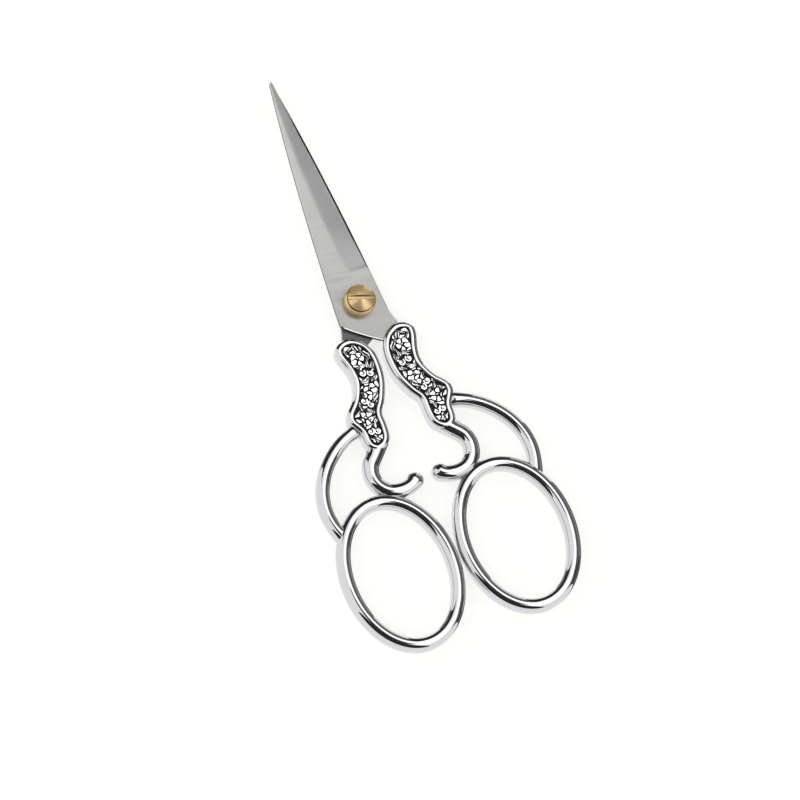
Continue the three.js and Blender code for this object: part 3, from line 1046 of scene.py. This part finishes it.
heel_top = (HEEL[0], HEEL[1] + HEEL_R)
heel_low = (HEEL[0] + HEEL_R, HEEL[1] - HEEL_R)
spine = [
    Vector((-TIP_HALF, TIP_Y, 0)), *bow((-TIP_R, TIP_Y - TIP_R), SPINE_BOW, heel_top),
    *bow(heel_top, HEEL, heel_low)[1:], *bow(heel_low, HEEL_BOW, HEEL_END)[1:],
    Vector((TANG_SIDES[0], TANG_END_Y, 0)),
]
edge = [
    Vector((TIP_HALF, TIP_Y, 0)), *bow((EDGE_TIP_X, TIP_Y - TIP_R), EDGE_BOW, NECK),
    *bow(NECK, (NECK[0], (NECK[1] + SHOULDER[1]) / 2), SHOULDER)[1:],
    Vector((TANG_SIDES[1], TANG_END_Y, 0)),
]
bevel_border = [
    *bow((-TIP_R, TIP_Y + 1), BEVEL_BOW, (BEVEL_BASE_X, PLUNGE_Y)),
    Vector((BEVEL_BASE_X, TANG_END_Y, 0)),
]
print("blade is", TIP_Y - HEEL[1], "mm from heel to tip")

# %% [markdown]
# Small things make the edges of a real blade. Along the heel runs a narrow burnished land, and the wall
# under it is painted black: a painted shadow along the heel's lower edge. Further up, the wall of the
# spine is painted a dark grey as painted shade. Above the plunge line, where the bevel starts, the inner
# corner of the spine is broken and painted black, a painted shadow that shows as a thin black line beside
# the other blade's edge. Polishing has softened the border of the bevel, so the section turns over it in
# two small steps. The bevel's slope has a limit, because the narrow tip would make it too steep.

# %% Sections of the blade
BROKEN_EDGE = 0.06
HEEL_LAND = (0.34, 0.01)
HEEL_FADE = (-4.6, -3.6)
BLACK_CHAMFER = (0.42, 0.1)
BLACK_FADE = (PLUNGE_Y - 1, PLUNGE_Y + 1)
HEEL_STEPS = 16
BEND_STEPS = 8
TIP_STEPS = 6
BLADE_STEPS = 60
BLADE_PACE = 0.9
TANG_STEP = 0.02
LEAST_STEP = 0.015


def blade_section(y):
    """Corners at a height y, from the spine's upper edge over the bevel and back along the inside."""
    spine_x = across_at(spine, y)
    edge_x = across_at(edge, y)
    width = edge_x - spine_x
    nip = min(BROKEN_EDGE, width / 6)
    soft = min(BEVEL_SOFTNESS, width / 8)
    border = min(max(across_at(bevel_border, y), spine_x + 2 * soft), edge_x - 2 * soft)
    ground = blend(eased(y, PLUNGE_Y, PLUNGE_Y + PLUNGE_RUN), eased(y, *PLUNGE_FADE), PLUNGE_SHARE)
    run = edge_x - nip - border
    slope = min((BLADE_T - EDGE_T) * ground / run, STEEPEST)
    edge_top = BLADE_TOP - slope * run
    at_heel = 1 - eased(y, *HEEL_FADE)
    top_in = blend(nip, HEEL_LAND[0], at_heel)
    top_down = blend(nip, HEEL_LAND[1], at_heel)
    blackened = eased(y, *BLACK_FADE)
    low_in = blend(nip, min(BLACK_CHAMFER[0], width / 4), blackened)
    low_up = blend(nip, BLACK_CHAMFER[1], blackened)
    corners = [
        (spine_x, BLADE_TOP - top_down), (spine_x + top_in, BLADE_TOP), (border - soft, BLADE_TOP),
        (border, BLADE_TOP - slope * soft / 4), (border + soft, BLADE_TOP - slope * soft),
        (edge_x - nip, edge_top), (edge_x, edge_top - nip), (edge_x, BLADE_LOW + nip),
        (edge_x - nip, BLADE_LOW), (spine_x + low_in, BLADE_LOW), (spine_x, BLADE_LOW + low_up),
    ]
    return [(x, y, z) for x, z in corners]


def heights_along_blade():
    """Where the sections lie: closer together at the heel, the plunge line and the tip."""
    marks = [TANG_END_Y, HEEL_END[1] - TANG_STEP, HEEL_END[1] + TANG_STEP]
    marks += [blend(HEEL_END[1], heel_low[1], k / HEEL_STEPS) for k in range(1, HEEL_STEPS)]
    for middle, reach in ((HEEL[1], HEEL_R), (PLUNGE_Y, PLUNGE_R)):
        marks += [middle + reach * (2 * k / BEND_STEPS - 1) for k in range(BEND_STEPS + 1)]
    marks += [TIP_Y - TIP_R * (1 - sin(k * pi / 2 / TIP_STEPS)) for k in range(TIP_STEPS + 1)]
    marks += [heel_top[1] + BLADE_PACE * k for k in range(1, BLADE_STEPS + 1)]
    marks.sort()
    return marks[:1] + [b for a, b in zip(marks, marks[1:]) if b - a > LEAST_STEP]


print("a blade has", len(heights_along_blade()), "sections of", len(blade_section(0)), "corners")

# %% Blade from a moving section
FLAT, BORDER, INSIDE = {0, 1, 2}, {3}, {7, 8, 9, 10}
INNER_FACE, INNER_CHAMFER = {8, 9}, {9, 10}
SPINE_WALL, SPINE_LAND = {0, 10}, {0, 1}
TANG_FADE = (-3.5, 1.0)
blade = bmesh.new()
corner_of = blade.verts.layers.int.new("corner")
finish_of = blade.verts.layers.float.new("finish")


def finish_at(corner, y):
    """0 for a side's first finish and 1 for its second: flat and bevel outside, blade and tang inside."""
    # Inside, the second look is the tang's darker grey, painted shade under the other blade.
    if corner in INSIDE:
        return 1 - eased(y, *TANG_FADE)
    share = 0 if corner in FLAT else 0.5 if corner in BORDER else 1
    return share * eased(y, *PLUNGE_FADE)


def steel_of(face):
    """Which of the five steels below a face gets, by the corners of the section that it joins."""
    corners = {vert[corner_of] for vert in face.verts}
    y = face.calc_center_median().y
    if corners == INNER_FACE:
        return 1
    # Steel 2 is painted black: a painted shadow line on this chamfer and on the heel's wall.
    if corners == INNER_CHAMFER and y > PLUNGE_Y:
        return 2
    # On the heel the wall gets the painted shadow black, further up a dark grey as painted shade.
    if corners == SPINE_WALL:
        return 2 if y < HEEL[1] else 4
    if corners == SPINE_LAND and y < HEEL[1]:
        return 3
    return 0


made = [blade.verts.new(place) for place in blade_section(TANG_END_Y)]
for k, vert in enumerate(made):
    vert[corner_of] = k
first = [blade.edges.new(pair) for pair in zip(made, made[1:] + made[:1])]
ring = first
for y in heights_along_blade()[1:]:
    verts, ring = grow_ring(blade, ring)
    places = blade_section(y)
    for vert in verts:
        vert.co = places[vert[corner_of]]
bmesh.ops.edgeloop_fill(blade, edges=first)
bmesh.ops.edgeloop_fill(blade, edges=ring)
for vert in blade.verts:
    vert[finish_of] = finish_at(vert[corner_of], vert.co.y)
for face in blade.faces:
    face.material_index = steel_of(face)
bmesh.ops.recalc_face_normals(blade, faces=blade.faces)
print("blade:", len(blade.faces), "faces,", open_edges(blade), "open edges")

# %% Pivot hole through the blade
PIVOT_HOLE_R = 2.1
DRILL_SIDES = 64
DRILL_LENGTH = 8
drill = bmesh.new()
bmesh.ops.create_cone(drill, cap_ends=True, segments=DRILL_SIDES, radius1=PIVOT_HOLE_R,
                      radius2=PIVOT_HOLE_R, depth=DRILL_LENGTH, matrix=Matrix.Translation((0, 0, MIDDLE)))
blade = combined(mesh_object("blade", blade), [mesh_object("drill", drill)], "DIFFERENCE")
print("drilled blade:", len(blade.faces), "faces,", open_edges(blade), "open edges")

# %% [markdown]
# The steel is ground to a satin finish. The stone leaves fine lines across the blade, which spread the
# highlight. The bevel has a rougher grain and faces a darker part of the room. Inside, the blade is
# ground too, and towards the tang a darker grey is painted shade, where the other blade shades it. Each
# side has two looks that run into each other, and the attribute that was stored with the corners of the
# blade tells the shader how much of each to use. Towards the tip the colour gets brighter.

# %% Ground steel
BRIGHTENING_RUN = (-4 * MM, 30 * MM)
BRIGHTENING = (0.88, 1.13)
CLOUD_SCALE = 110.0
CLOUD_TONES = (0.95, 1.05)
LINE_SCALE = 5200.0
LINE_STRETCH = (0.03, 1.0, 1.0)
LINE_GLOSSES = (-0.05, 0.06)
LINE_STRENGTH = 0.12
LINE_DEPTH = 0.00002


def ground_steel(name, colours, glosses, line_slant):
    """Steel whose colour and gloss change from a first to a second value with the attribute finish."""
    material, tree, shader = new_material(name, {"Metallic": 1.0})
    finish = add_node(tree, "ShaderNodeAttribute", {}, attribute_name="finish").outputs["Fac"]
    place = object_place(tree)
    slant = {"Vector": place, "Rotation": (0, 0, radians(line_slant))}
    turned = add_node(tree, "ShaderNodeMapping", slant).outputs[0]
    drawn = add_node(tree, "ShaderNodeMapping", {"Vector": turned, "Scale": LINE_STRETCH}).outputs[0]
    lines = add_noise(tree, drawn, LINE_SCALE, 4.0)
    clouds = add_range(tree, add_noise(tree, place, CLOUD_SCALE, 2.0), NOISE_SPAN, CLOUD_TONES)
    # The colour gets brighter towards the tip.
    brighter = add_range(tree, axes_of(tree, place)["Y"], BRIGHTENING_RUN, BRIGHTENING)
    tone = add_math(tree, "MULTIPLY", clouds, brighter)
    tint = {0: add_mix(tree, finish, *colours), "Scale": tone}
    gloss = add_range(tree, finish, UNIT, glosses)
    spread = add_range(tree, lines, NOISE_SPAN, LINE_GLOSSES)
    fill_inputs(tree, shader, {
        "Base Color": add_node(tree, "ShaderNodeVectorMath", tint, operation="SCALE").outputs[0],
        "Roughness": add_math(tree, "ADD", gloss, spread),
        "Normal": add_bump(tree, lines, LINE_STRENGTH, LINE_DEPTH)})
    print(name, "ground at", line_slant, "degrees")
    return material


SATIN, BEVEL_GREY = (0.63, 0.63, 0.61, 1), (0.73, 0.715, 0.73, 1)
# Painted shade: the second grey on the next line darkens the tang's inner face, where the other blade
# shades it.
INNER_GREY, TANG_SHADE_GREY = (0.5, 0.5, 0.5, 1), (0.32, 0.31, 0.32, 1)
# Painted shadow: the black for the heel's wall and the spine's inner chamfer.
SHADOW_BLACK, LAND_BRIGHT = (0.012, 0.012, 0.013, 1), (0.72, 0.72, 0.71, 1)
# Painted shade: the dark grey for the spine's wall.
SPINE_SHADE_GREY = (0.2, 0.2, 0.195, 1)
steels = (
    ground_steel("outer_steel", (SATIN, BEVEL_GREY), (0.4, 0.5), 8),
    # Inside: ground grey, and towards the tang a darker grey as painted shade.
    ground_steel("inner_steel", (INNER_GREY, TANG_SHADE_GREY), (0.36, 0.55), -8),
    # Painted shadow: this black steel goes on the heel's wall and on the chamfer above the plunge.
    ground_steel("painted_shadow_black", (SHADOW_BLACK, SHADOW_BLACK), (0.5, 0.5), 0),
    ground_steel("bright_edge", (LAND_BRIGHT, LAND_BRIGHT), (0.12, 0.12), 0),
    # Painted shade: a dark grey steel on the spine's wall.
    ground_steel("spine_shade_steel", (SPINE_SHADE_GREY, SPINE_SHADE_GREY), (0.45, 0.45), 0),
)
rear_blade = turned_over(blade)
finish_piece("upper_blade", blade, steels, "front_half", ["front_blade"], BLADE_CREASE)
finish_piece("lower_blade", rear_blade, steels, "rear_half", ["rear_blade"], BLADE_CREASE)

# %% [markdown]
# The pivot is turned from brass bar: a screw with a domed, slotted head, a collar under it, and a barrel
# nut that comes through both blades from behind. Turned pieces are what spin is for: half a profile goes
# once round the axis. Sharp corners never leave a lathe, so the rings of sharp edges are bevelled
# afterwards.

# %% Turned pieces
SPIN_STEPS = 96
SPIN_MERGE = 0.0005
LATHE_SHARP = radians(25)


def break_edges(bm, edges, offset, segments):
    bmesh.ops.bevel(bm, geom=edges, offset=offset, segments=segments, profile=0.5, affect="EDGES",
                    material=-1)


def sharper_than(bm, angle):
    return [edge for edge in bm.edges if edge.is_manifold and edge.calc_face_angle() > angle]


def turn_on_lathe(profile, corner, closed=False):
    """Spins radius and height pairs round the pivot's axis, and breaks the sharp corners."""
    bm = bmesh.new()
    verts = [bm.verts.new((radius, 0, height)) for radius, height in profile]
    pairs = list(zip(verts, verts[1:])) + ([(verts[-1], verts[0])] if closed else [])
    edges = [bm.edges.new(pair) for pair in pairs]
    bmesh.ops.spin(bm, geom=verts + edges, cent=(0, 0, 0), axis=(0, 0, 1), angle=2 * pi,
                   steps=SPIN_STEPS, use_merge=True)
    bmesh.ops.remove_doubles(bm, verts=bm.verts, dist=SPIN_MERGE)
    bmesh.ops.recalc_face_normals(bm, faces=bm.faces)
    break_edges(bm, sharper_than(bm, LATHE_SHARP), corner, 3)
    bmesh.ops.recalc_face_normals(bm, faces=bm.faces)
    return bm


# %% Nut, collar and screw
FLANGE_R, FLANGE_T = 3.4, 0.9
BARREL_R = 2.0
COLLAR_R, COLLAR_T = 3.35, 2.3
CHAMFER = 0.35
SEAT_GAP = 0.05
COLLAR_Z = BLADE_TOP + SEAT_GAP
COLLAR_TOP = COLLAR_Z + COLLAR_T
HEAD_Z = COLLAR_TOP + SEAT_GAP
HEAD_R, HEAD_RIM_T, HEAD_DOME_T = 2.85, 0.5, 0.8
DOME_Z = HEAD_Z + HEAD_RIM_T
DOME_STEPS = 12
THREAD_R, THREAD_LOW = 1.2, 0.85
THREAD_GAP = 0.1
BORE_R, BORE_LOW = THREAD_R + THREAD_GAP, THREAD_LOW - THREAD_GAP
BARREL_TOP = COLLAR_Z + COLLAR_T / 2
NUT_CORNER, COLLAR_CORNER, SCREW_CORNER = 0.05, 0.06, 0.07

nut = turn_on_lathe([
    (0, 0), (FLANGE_R - CHAMFER, 0), (FLANGE_R, CHAMFER), (FLANGE_R, FLANGE_T), (BARREL_R, FLANGE_T),
    (BARREL_R, BARREL_TOP), (BORE_R, BARREL_TOP), (BORE_R, BORE_LOW), (0, BORE_LOW),
], NUT_CORNER)
collar = turn_on_lathe([
    (PIVOT_HOLE_R, COLLAR_Z), (COLLAR_R, COLLAR_Z), (COLLAR_R, COLLAR_TOP - CHAMFER),
    (COLLAR_R - CHAMFER, COLLAR_TOP), (PIVOT_HOLE_R, COLLAR_TOP),
], COLLAR_CORNER, closed=True)
dome_r = (HEAD_R ** 2 + HEAD_DOME_T ** 2) / (2 * HEAD_DOME_T)
dome_centre = DOME_Z + HEAD_DOME_T - dome_r
dome_radii = [HEAD_R * (1 - k / DOME_STEPS) for k in range(DOME_STEPS + 1)]
dome = [(radius, dome_centre + sqrt(dome_r ** 2 - radius ** 2)) for radius in dome_radii]
screw = turn_on_lathe([
    (0, THREAD_LOW), (THREAD_R, THREAD_LOW), (THREAD_R, HEAD_Z), (HEAD_R, HEAD_Z), *dome,
], SCREW_CORNER)
print("nut, collar and screw:", len(nut.faces), len(collar.faces), len(screw.faces), "faces")

# %% Driver slot
SLOT_W, SLOT_DEPTH = 0.8, 0.7
SLOT_TURN = radians(-18)
SLOT_SHARP = radians(40)
LIP_LOWEST = HEAD_Z + 0.45
LIP_ROUND = 0.06
cutter = bmesh.new()
slot_place = Matrix.Translation((0, 0, DOME_Z + HEAD_DOME_T - SLOT_DEPTH + 1))
slot_size = Matrix.Diagonal((HEAD_R + 1, SLOT_W / 2, 1, 1))
slot_matrix = Matrix.Rotation(SLOT_TURN, 4, "Z") @ slot_place @ slot_size
bmesh.ops.create_cube(cutter, size=2, matrix=slot_matrix)
screw = combined(mesh_object("screw", screw), [mesh_object("cutter", cutter)], "DIFFERENCE")
lips = [e for e in sharper_than(screw, SLOT_SHARP) if min(v.co.z for v in e.verts) > LIP_LOWEST]
break_edges(screw, lips, LIP_ROUND, 2)
print("slot lips broken on", len(lips), "edges,", open_edges(screw), "open edges")

# %% [markdown]
# Brass from the lathe carries fine rings, and they draw the highlight of the dome out into a bow tie. An
# anisotropic gloss whose tangent runs round the axis gives that, turned by a quarter so that it spreads
# across the rings. The lacquer on it is a little cloudy, so a part of the light comes back softly, and
# the metallic share is below one. Painted shade, a dark brown, darkens the seam round the screw's head
# and, more thinly, the lips of the slot, where shadow falls. The shader finds both by their distance and
# their height. Fingers keep the screw bright, and the collar and the nut have aged.

# %% Painted shade in the seam and the slot
# Painted shade: a dark brown painted into the seam under the screw's head and along the slot's lips.
SHADE_BROWN = (0.03, 0.016, 0.006, 1)
SHADE_REACH = (0.06 * MM, 0.15 * MM)
SEAM_HEIGHTS = (HEAD_Z - 0.2, DOME_Z - 0.06)
SLOT_SHADE = 0.6


def shade_near(tree, distance, amount):
    """The amount where a distance is about 0, and none further off than the painted shade reaches."""
    return add_range(tree, add_math(tree, "ABSOLUTE", distance), SHADE_REACH, (amount, 0.0))


def seam_shade(tree, place):
    """Painted shade: 1 in the seam round the screw's head, where shadow falls, and 0 elsewhere."""
    flat = add_node(tree, "ShaderNodeMapping", {"Vector": place, "Scale": (1, 1, 0)}).outputs[0]
    reach = add_node(tree, "ShaderNodeVectorMath", {0: flat}, operation="LENGTH").outputs["Value"]
    near = shade_near(tree, add_math(tree, "SUBTRACT", reach, HEAD_R * MM), 1.0)
    height = axes_of(tree, place)["Z"]
    above = add_math(tree, "GREATER_THAN", height, SEAM_HEIGHTS[0] * MM)
    below = add_math(tree, "LESS_THAN", height, SEAM_HEIGHTS[1] * MM)
    return add_math(tree, "MULTIPLY", add_math(tree, "MULTIPLY", above, below), near)


def slot_shade(tree, place):
    """Painted shade along both lips of the driver slot, at the strength set for it, and 0 elsewhere."""
    turn = {"Vector": place, "Rotation": (0, 0, -SLOT_TURN)}
    axes = axes_of(tree, add_node(tree, "ShaderNodeMapping", turn).outputs[0])
    off_middle = add_math(tree, "ABSOLUTE", axes["Y"])
    near = shade_near(tree, add_math(tree, "SUBTRACT", off_middle, SLOT_W / 2 * MM), SLOT_SHADE)
    return add_math(tree, "MULTIPLY", near, add_math(tree, "GREATER_THAN", axes["Z"], DOME_Z * MM))


# %% Turned brass
TARNISH_SCALE = 900.0
LATHE_SPREAD = 0.75
QUARTER = 0.25
LATHE_WAVE = {"Scale": 2200.0, "Distortion": 0.6, "Detail": 2.0}
LATHE_GLOSSES = (0.27, 0.35)
LATHE_STRENGTH = 0.25
LATHE_DEPTH = 0.00001


def turned_brass(name, deep, pale, metallic):
    """Brass between a deep and a pale tone, with the rings of the lathe."""
    material, tree, shader = new_material(name, {
        "Metallic": metallic, "Anisotropic": LATHE_SPREAD, "Anisotropic Rotation": QUARTER})
    place = object_place(tree)
    tone = add_mix(tree, add_noise(tree, place, TARNISH_SCALE, 3.0), deep, pale)
    # Painted shade: the dark brown is mixed in where shadow falls in the seam and the slot.
    painted_shade = add_math(tree, "MAXIMUM", seam_shade(tree, place), slot_shade(tree, place))
    grooves = add_node(tree, "ShaderNodeTexWave", {"Vector": place, **LATHE_WAVE}, wave_type="RINGS",
                       rings_direction="Z").outputs["Fac"]
    lathe_way = add_node(tree, "ShaderNodeTangent", {}, direction_type="RADIAL", axis="Z").outputs[0]
    fill_inputs(tree, shader, {
        "Base Color": add_mix(tree, painted_shade, tone, SHADE_BROWN),
        "Roughness": add_range(tree, grooves, UNIT, LATHE_GLOSSES),
        "Normal": add_bump(tree, grooves, LATHE_STRENGTH, LATHE_DEPTH), "Tangent": lathe_way})
    print(name, "has", len(tree.nodes), "nodes")
    return material


bright_brass = turned_brass("bright_brass", (1.0, 0.6, 0.25, 1), (1.0, 0.82, 0.46, 1), 0.58)
aged_brass = turned_brass("aged_brass", (0.93, 0.6, 0.28, 1), (1.0, 0.72, 0.39, 1), 0.5)

# %% Pivot pieces in place
finish_piece("barrel_nut", nut, (aged_brass,), "rear_half", ["pivot_nut"])
finish_piece("brass_collar", collar, (aged_brass,), "rear_half", ["pivot_collar"])
finish_piece("slotted_screw", screw, (bright_brass,), "rear_half", ["pivot_screw"])
